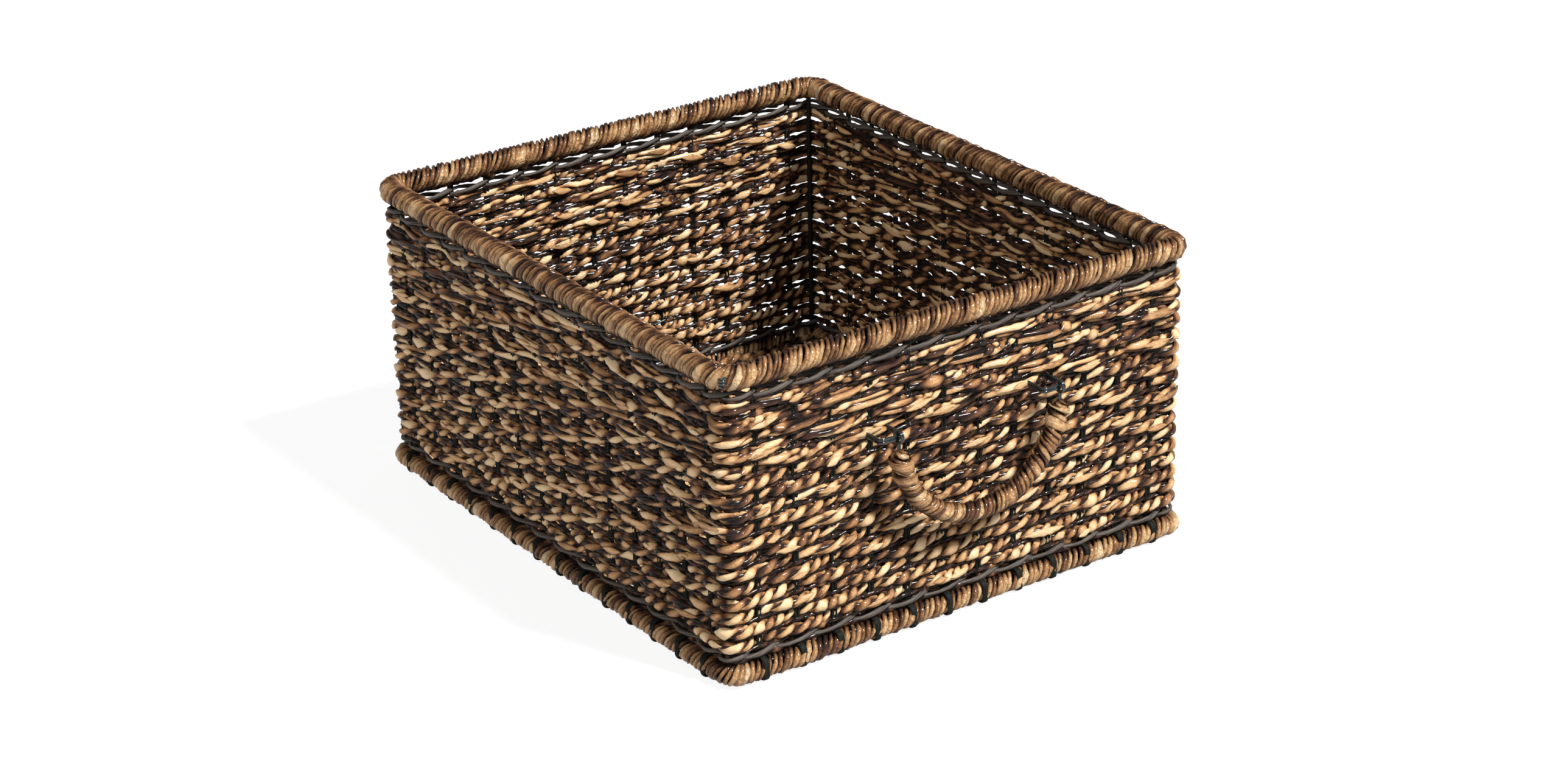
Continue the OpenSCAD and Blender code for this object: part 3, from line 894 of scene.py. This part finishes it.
class BASKET_OT_rim(bpy.types.Operator):
    """Wind the rim and tie its end"""

    bl_idname = "basket.rim"
    bl_label = "Rim"

    def execute(self, context):
        wraps = settings("wraps")
        sizes = Sizes()
        thick = wraps.cord_thickness
        chain = wound_chain(sizes, sizes.rim_x, sizes.rim_y, 10.0 * MM, sizes.rim_z, 6 * wraps.rim_turn, 1.4)
        reach = sizes.rim_r - 0.9 * MM - thick / 2
        piece = lay_strands(
            "rim_winding", [chain], wound_finish(), strands=6, step=wraps.rim_turn / 2.6,
            reach_out=reach, reach_up=reach, width=wraps.rim_turn * 0.88, thickness=thick,
            start_turn=0.0, parts_per_turn=2.0, unevenness=0.55, taper=0.25, leaf_share=0.15, leaf_growth=0.5,
            drift=4.5 * MM, tone=0.62, tone_spread=0.42, dark_ends=0.35, facets=10, creases=0.9, seed=501)
        fit(piece, "basket", "wound_strip", "rim_wrap")
        low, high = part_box("rim_tie")
        centre = (low + high) / 2
        radius = (high.x - low.x) / 2
        coils = 3
        gauge = (high.z - low.z) / (coils + 0.4)
        path = {
            "points": np.array([(centre.x, centre.y, low.z + gauge / 2 + i * coils * gauge * 0.98 / 12)
                                for i in range(13)]),
            "out": np.array([(-0.7071, -0.7071, 0.0)] * 13),
            "turn": np.linspace(0, coils, 13)}
        tie = lay_strands(
            "rim_tie_wire", [path], wire_finish(), strands=1, step=0.28 * MM,
            reach_out=radius - gauge / 2, reach_up=radius - gauge / 2, width=gauge, thickness=gauge,
            unevenness=0.0, leaf_share=0.0, drift=0.0, facets=8, creases=0.0, seed=5)
        fit(tie, "basket", "black_wire", "rim_tie")
        return {"FINISHED"}


class BASKET_OT_base(bpy.types.Operator):
    """Wind the base"""

    bl_idname = "basket.base"
    bl_label = "Base"

    def execute(self, context):
        wraps = settings("wraps")
        sizes = Sizes()
        thick = wraps.cord_thickness
        chain = wound_chain(sizes, sizes.base_x, sizes.base_y, 10.0 * MM, sizes.base_z, 4 * wraps.base_turn, 1.4)
        reach = sizes.base_r + settings("weave").strap_thickness * 0.2 - thick / 2
        piece = lay_strands(
            "base_winding", [chain], wound_finish(), strands=4, step=wraps.base_turn / 5,
            reach_out=reach, reach_up=reach, width=wraps.base_turn * 0.92, thickness=thick,
            parts_per_turn=2.0, unevenness=0.6, taper=0.25, leaf_share=0.1, leaf_growth=0.4,
            drift=4.0 * MM, tone=0.64, tone_spread=0.5, dark_ends=0.35, facets=8, creases=0.8, seed=601)
        fit(piece, "basket", "wound_strip", "base_wrap")
        return {"FINISHED"}


def stake_chains(count, wall, wrap, sizes):
    """The rods and the strap of each stake of a wall whose outside faces -Y."""
    weave = settings("weave")
    half = weave.strap_thickness / 2
    outside = wrap + sizes.base_r - half - 0.3 * MM
    toe = wrap - sizes.base_r / 2
    strap_top = sizes.base_z + sizes.base_r + 1.2 * MM
    rod_r = weave.stake_width / 4
    sole = sizes.base_z - sizes.base_r - 0.3 * MM
    rods = []
    straps = []
    for i in range(count):
        x = (i - (count - 1) / 2) * sizes.pitch
        for side in (-1, 1):
            lean = side * rod_r
            rods.append({
                "points": np.array([(x + lean, -wall, z) for z in np.linspace(strap_top - 1 * MM, sizes.stake_top, 12)]),
                "out": np.array([(0.0, -1.0, 0.0)] * 12)})
        line = [(-wall, strap_top + 5 * MM), (-wall - 0.2 * MM, strap_top + 1 * MM),
                (-outside + 1.5 * MM, strap_top - 0.4 * MM), (-outside, strap_top - 2.5 * MM),
                (-outside, sole + 2.6 * MM), (-outside + 0.7 * MM, sole + 1.1 * MM),
                (-outside + 2.4 * MM, sole + half), (-toe, sole + half)]
        line = np.array(line)
        tangent = np.gradient(line, axis=0)
        tangent /= np.linalg.norm(tangent, axis=1)[:, None]
        points = np.column_stack([np.full(len(line), x), line])
        out = np.column_stack([np.zeros(len(line)), tangent[:, 1], -tangent[:, 0]])
        straps.append({"points": points, "out": out})
    return rods, straps


class BASKET_OT_stakes(bpy.types.Operator):
    """Set the paired stakes and their foot straps in the walls"""

    bl_idname = "basket.stakes"
    bl_label = "Stakes"

    def execute(self, context):
        weave = settings("weave")
        sizes = Sizes()
        for turns, side in enumerate(("front", "right", "back", "left")):
            wide = turns % 2 == 0
            count = weave.stakes_wide if wide else weave.stakes_deep
            wall = sizes.wall_y if wide else sizes.wall_x
            wrap = sizes.base_y if wide else sizes.base_x
            rods, straps = stake_chains(count, wall, wrap, sizes)
            rod_piece = lay_strands(
                f"stake_rods_{side}", [turned(c, turns) for c in rods], stake_finish(), strands=1,
                step=6.0 * MM, reach_out=0.0, reach_up=0.0, width=weave.stake_width / 2,
                thickness=weave.stake_thickness, unevenness=0.2, leaf_share=0.0, facets=10,
                creases=0.0, seed=700 + turns)
            strap_piece = lay_strands(
                f"stake_straps_{side}", [turned(c, turns) for c in straps], stake_finish(), strands=1,
                step=0.8 * MM, reach_out=0.0, reach_up=0.0, width=weave.stake_width,
                thickness=weave.strap_thickness, unevenness=0.0, leaf_share=0.0, facets=10,
                creases=0.0, seed=720 + turns)
            piece = join(f"stake_set_{side}", [rod_piece, strap_piece])
            fit(piece, "basket", "dark_stake", f"stakes_{side}")
        return {"FINISHED"}


class BASKET_OT_floor(bpy.types.Operator):
    """Weave the basket's floor on its ribs"""

    bl_idname = "basket.floor"
    bl_label = "Woven Floor"

    def execute(self, context):
        weave = settings("weave")
        sizes = Sizes()
        low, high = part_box("floor_weave")
        rows = int((high.y - low.y) / weave.floor_row)
        pitch = (high.y - low.y - 0.5 * MM) / rows
        count = weave.stakes_wide
        chains = []
        for row in range(rows):
            y = low.y + 0.25 * MM + (row + 0.5) * pitch
            x = np.linspace(low.x, high.x, 130)
            knots = [low.x] + [(i - (count - 1) / 2) * sizes.pitch for i in range(count)] + [high.x]
            sides = [0.0] + [1.0 if (i + row) % 2 else -1.0 for i in range(count)] + [0.0]
            z = middle(low.z, high.z) + 1.3 * MM * smooth_steps(x, knots, sides)
            y = y + 0.25 * MM * np.sin(x * 90 + row * 2.4)
            chains.append({
                "points": np.column_stack([x, y, z]), "out": np.array([(0.0, 0.0, 1.0)] * len(x)),
                "turn": (x - low.x) / (20 * MM) + row * 0.37})
        piece = lay_strands(
            "floor_ropes", chains, rope_finish(), strands=2, step=3.8 * MM, reach_out=1.25 * MM,
            reach_up=2.5 * MM, width=4.6 * MM, thickness=2.8 * MM, unevenness=0.3,
            leaf_share=0.08, leaf_growth=0.4, tone=0.62, tone_spread=0.7, facets=7, creases=0.3, seed=811)
        fit(piece, "basket", "twisted_rope", "floor_weave")
        return {"FINISHED"}


def handle_frame(side):
    """The radius, grip radius, middle height and reach of a handle's bow."""
    low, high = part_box(f"{side}_handle_wrap")
    grip_r = (high.y - low.y) / 2
    bow_r = (high.x - low.x) / 2 - grip_r
    centre_z = low.z + bow_r + grip_r
    reach = abs(middle(low.y, high.y))
    return bow_r, grip_r, centre_z, reach


def arc_chain(bow_r, centre_z, reach, first, last, turn_length):
    """A hanging arc from first to last degrees below the level of its centre."""
    degrees = np.radians(np.linspace(first, last, 90))
    points = np.column_stack([
        -bow_r * np.cos(degrees), np.full(90, -reach), centre_z - bow_r * np.sin(degrees)])
    run = bow_r * (degrees - degrees[0])
    turns = max(1.0, round(run[-1] / turn_length))
    from_end = np.minimum(run, run[-1] - run)
    girth = 0.3 + 0.7 * np.sqrt(np.clip(from_end / (8 * MM), 0, 1))
    fat = 0.35 + 0.65 * np.clip(from_end / (10 * MM), 0, 1)
    return {"points": points, "out": np.array([(0.0, -1.0, 0.0)] * 90), "turn": turns * run / run[-1],
            "girth": girth, "fat": fat}


def ring_chain(centre, radius, axis, start, steps=36):
    """A closed ring about an axis."""
    angles = np.linspace(0, math.tau, steps + 1)
    a = np.array(start, float)
    b = np.cross(axis, a)
    points = np.array(centre) + radius * (np.cos(angles)[:, None] * a + np.sin(angles)[:, None] * b)
    return {"points": points, "out": np.array([axis] * len(angles), float)}


def eye_chain(x_low, x_high, y_out, y_in, z, bend):
    """A closed flat loop of wire through the wall, with round corners."""
    s, points, out, marks = loop_path((x_high - x_low) / 2, (y_in - y_out) / 2, bend, 0.6 * MM)
    points = points + np.array([middle(x_low, x_high), middle(y_out, y_in), z])
    return {"points": points, "out": np.array([(0.0, 0.0, 1.0)] * len(points))}


class BASKET_OT_handles(bpy.types.Operator):
    """Bend the wire eyes and hooks, and wind both handles"""

    bl_idname = "basket.handles"
    bl_label = "Handles"

    def execute(self, context):
        wraps = settings("wraps")
        wire = wraps.wire
        for side, turns in (("front", 0), ("back", 2)):
            body = f"{side}_handle"
            joint = next(j for j in frame["joints"] if j["child"] == body)
            swing_z = joint["pos_m"][2]
            bow_r, grip_r, centre_z, reach = handle_frame(side)
            thick = wraps.strip_thickness
            main = arc_chain(bow_r, centre_z, reach, 5, 175, 4 * wraps.handle_turn)
            winding = lay_strands(
                f"{side}_grip_winding", [turned(main, turns)], wound_finish(), strands=4,
                step=wraps.handle_turn / 6, reach_out=grip_r - thick * 0.95, reach_up=grip_r - thick * 0.95,
                width=wraps.handle_turn * 0.95, thickness=thick, parts_per_turn=2.0, unevenness=0.5, taper=0.2,
                leaf_share=0.3, leaf_growth=0.7, drift=4.5 * MM, tone=0.58, tone_spread=0.45,
                dark_ends=0.3, facets=10, creases=0.8, seed=901 + turns)
            flaps = [arc_chain(bow_r, centre_z, reach, first, last, 12 * MM)
                     for first, last in ((7, 26), (154, 173))]
            for flap in flaps:
                flap["fat"] = 0.05 + np.sin(np.pi * np.linspace(0, 1, len(flap["points"]))) ** 1.3
                flap["girth"] = 1.0
            loose = lay_strands(
                f"{side}_grip_flaps", [turned(c, turns) for c in flaps], wound_finish(), strands=1,
                step=0.5 * MM, reach_out=grip_r - 1.0 * MM, reach_up=grip_r - 1.0 * MM, width=8.0 * MM,
                thickness=1.3 * MM, start_turn=0.3, parts_per_turn=1.0, unevenness=0.4, taper=0.5,
                leaf_share=0.0, drift=2.0 * MM, tone=0.78, tone_spread=0.3, dark_ends=0.2, facets=12,
                creases=0.6, seed=931 + turns)
            winding = join(f"{side}_grip_winding", [winding, loose])
            fit(winding, body, "wound_strip", f"{side}_handle_wrap")
            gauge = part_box(f"{side}_handle_core")
            gauge = abs(gauge[1].y - gauge[0].y)
            ring_r = swing_z - centre_z
            core_wire = (gauge - 2 * ring_r) / 2
            hooks = [ring_chain((x, -reach, swing_z), ring_r, (1.0, 0.0, 0.0), (0.0, 0.0, 1.0))
                     for x in (-bow_r, bow_r)]
            hooks.append(arc_chain(bow_r, centre_z, reach, 0, 180, 1.0))
            hooks[-1].update(girth=1.0, fat=1.0, turn=0.25)
            core = lay_strands(
                f"{side}_hooks", [turned(c, turns) for c in hooks], wire_finish(), strands=2,
                step=0.5 * MM, reach_out=core_wire / 2, reach_up=core_wire / 2, width=core_wire * 1.25,
                thickness=core_wire * 1.25, unevenness=0.0, leaf_share=0.0, facets=10, creases=0.0, seed=3)
            fit(core, body, "black_wire", f"{side}_handle_core")
            low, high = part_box(f"{side}_eyes")
            gauge = high.z - low.z
            spans = eye_spans(side)
            loops = [eye_chain(x_low + gauge / 2, x_high - gauge / 2,
                               -reach, -reach + (high.y - low.y) - gauge - wraps.eye_tuck, swing_z, 2.5 * MM)
                     for x_low, x_high in spans]
            eyes = lay_strands(
                f"{side}_eye_wires", [turned(c, turns) for c in loops], wire_finish(), strands=2,
                step=0.5 * MM, reach_out=wire / 2, reach_up=0.0, width=wire, thickness=wire,
                unevenness=0.0, leaf_share=0.0, facets=10, creases=0.0, seed=4)
            fit(eyes, "basket", "black_wire", f"{side}_eyes")
        return {"FINISHED"}


def eye_spans(side):
    """The two stretches along X that a handle's eyes take up, as seen from their own side."""
    mirror = 1 if side == "front" else -1
    xs = sorted(mirror * v.co.x for v in frame["nodes"][f"{side}_eyes"].data.vertices)
    gaps = [(b - a, a, b) for a, b in zip(xs, xs[1:])]
    widest = max(gaps)
    return [(xs[0], widest[1]), (widest[2], xs[-1])]


class BASKET_OT_frame_finish(bpy.types.Operator):
    """Paint the rods, stand a rod in each corner, and stain the ribs"""

    bl_idname = "basket.frame_finish"
    bl_label = "Rods, Posts and Ribs"

    def execute(self, context):
        weave = settings("weave")
        low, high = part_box("corner_posts")
        inset = weave.post_side / 2 + weave.corner_tuck
        heights = np.linspace(low.z, high.z, 12)
        chains = []
        for x in (low.x + inset, high.x - inset):
            for y in (low.y + inset, high.y - inset):
                chains.append({"points": np.array([(x, y, z) for z in heights]),
                               "out": np.array([(1.0, 0.0, 0.0)] * 12)})
        piece = lay_strands(
            "corner_rods", chains, rod_finish(), strands=1, step=5.0 * MM, reach_out=0.0, reach_up=0.0,
            width=weave.corner_rod, thickness=weave.corner_rod, unevenness=0.0, leaf_share=0.0, facets=12,
            creases=0.0, seed=1)
        fit(piece, "basket", "steel_rod", "corner_posts")
        finishes = {"rim_rod": rod_finish, "base_rod": rod_finish, "floor_ribs": stake_finish}
        for node, finish in finishes.items():
            materials = frame["nodes"][node].data.materials
            materials.clear()
            materials.append(finish())
        return {"FINISHED"}


# ---- Stage ----

def add_camera():
    stage = settings("stage")
    a, e = stage.azimuth, stage.elevation
    back = Vector((math.sin(a) * math.cos(e), -math.cos(a) * math.cos(e), math.sin(e)))
    turn = back.to_track_quat("Z", "Y").to_matrix() @ Matrix.Rotation(stage.roll, 3, "Z")
    data = bpy.data.cameras.new("Camera")
    data.lens = stage.lens
    data.sensor_width = 36.0
    data.clip_start = 0.05
    data.clip_end = 50.0
    camera = bpy.data.objects.new("Camera", data)
    camera.matrix_world = Matrix.Translation(Vector(stage.target) + back * stage.distance) @ turn.to_4x4()
    bpy.context.scene.collection.objects.link(camera)
    bpy.context.scene.camera = camera


def add_floor():
    stage = settings("stage")
    size = 12.0
    mesh = bpy.data.meshes.new("stage_floor")
    corners = [(-size, -size, 0), (size, -size, 0), (size, size, 0), (-size, size, 0)]
    mesh.from_pydata(corners, [], [(0, 1, 2, 3)])
    floor = bpy.data.objects.new("stage_floor", mesh)
    bpy.context.scene.collection.objects.link(floor)
    material, make = new_material("Floor")
    end_material(make, make.add("ShaderNodeBsdfPrincipled", {
        "Base Color": (*stage.floor_colour, 1.0), "Roughness": 0.8,
        "Emission Color": (1, 1, 1, 1), "Emission Strength": stage.floor_glow}))
    mesh.materials.append(material)


def add_light(name, kind, energy, direction, size, distance=2.5):
    """Adds a light that shines on the basket from a direction."""
    data = bpy.data.lights.new(name, kind)
    data.energy = energy
    if kind == "SUN":
        data.angle = size
    else:
        data.shape = "DISK"
        data.size = size
    light = bpy.data.objects.new(name, data)
    direction = Vector(direction).normalized()
    turn = direction.to_track_quat("Z", "Y").to_matrix().to_4x4()
    light.matrix_world = Matrix.Translation(direction * distance) @ turn
    bpy.context.scene.collection.objects.link(light)
    return light


class BASKET_OT_stage(bpy.types.Operator):
    """Set up the camera, the floor and the lights"""

    bl_idname = "basket.stage"
    bl_label = "Stage"

    def execute(self, context):
        stage = settings("stage")
        scene = context.scene
        add_camera()
        add_floor()
        add_light("Key", "SUN", stage.key, (0.32, -0.62, 0.92), math.radians(9))
        fill = add_light("Fill", "SUN", stage.fill, (-0.85, -0.30, 0.45), math.radians(50))
        fill.visible_glossy = False
        world = bpy.data.worlds.new("Studio")
        world.use_nodes = True
        world.node_tree.nodes["Background"].inputs["Color"].default_value = (1, 1, 1, 1)
        world.node_tree.nodes["Background"].inputs["Strength"].default_value = stage.sky
        scene.world = world
        scene.view_settings.view_transform = "Standard"
        return {"FINISHED"}


class BASKET_PT_panel(bpy.types.Panel):
    """The basket's pieces"""

    bl_idname = "BASKET_PT_panel"
    bl_label = "Basket"
    bl_space_type = "VIEW_3D"
    bl_region_type = "UI"
    bl_category = "Basket"

    def draw(self, context):
        for operator in OPERATORS:
            self.layout.operator(operator.bl_idname)
        for group in ("weave", "wraps", "finish", "stage"):
            box = self.layout.box()
            values = settings(group)
            for name in values.bl_rna.properties.keys():
                if name not in ("rna_type", "name"):
                    box.prop(values, name)


OPERATORS = (
    BASKET_OT_stage, BASKET_OT_weave, BASKET_OT_grey_pairs, BASKET_OT_rim, BASKET_OT_base,
    BASKET_OT_stakes, BASKET_OT_floor, BASKET_OT_handles, BASKET_OT_frame_finish)
GROUPS = {
    "basket_weave": BasketWeaveSettings, "basket_wraps": BasketWrapSettings,
    "basket_finish": BasketFinishSettings, "basket_stage": BasketStageSettings}


def register():
    for group in GROUPS.values():
        bpy.utils.register_class(group)
    for name, group in GROUPS.items():
        setattr(bpy.types.Scene, name, bpy.props.PointerProperty(type=group))
    for operator in OPERATORS:
        bpy.utils.register_class(operator)
    bpy.utils.register_class(BASKET_PT_panel)


def unregister():
    bpy.utils.unregister_class(BASKET_PT_panel)
    for operator in reversed(OPERATORS):
        bpy.utils.unregister_class(operator)
    for name in GROUPS:
        delattr(bpy.types.Scene, name)
    for group in reversed(list(GROUPS.values())):
        bpy.utils.unregister_class(group)


def main():
    register()
    bpy.ops.basket.stage()
    bpy.ops.basket.weave()
    bpy.ops.basket.grey_pairs()
    bpy.ops.basket.rim()
    bpy.ops.basket.base()
    bpy.ops.basket.stakes()
    bpy.ops.basket.floor()
    bpy.ops.basket.handles()
    bpy.ops.basket.frame_finish()
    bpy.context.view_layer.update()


if __name__ == "__main__":
    main()
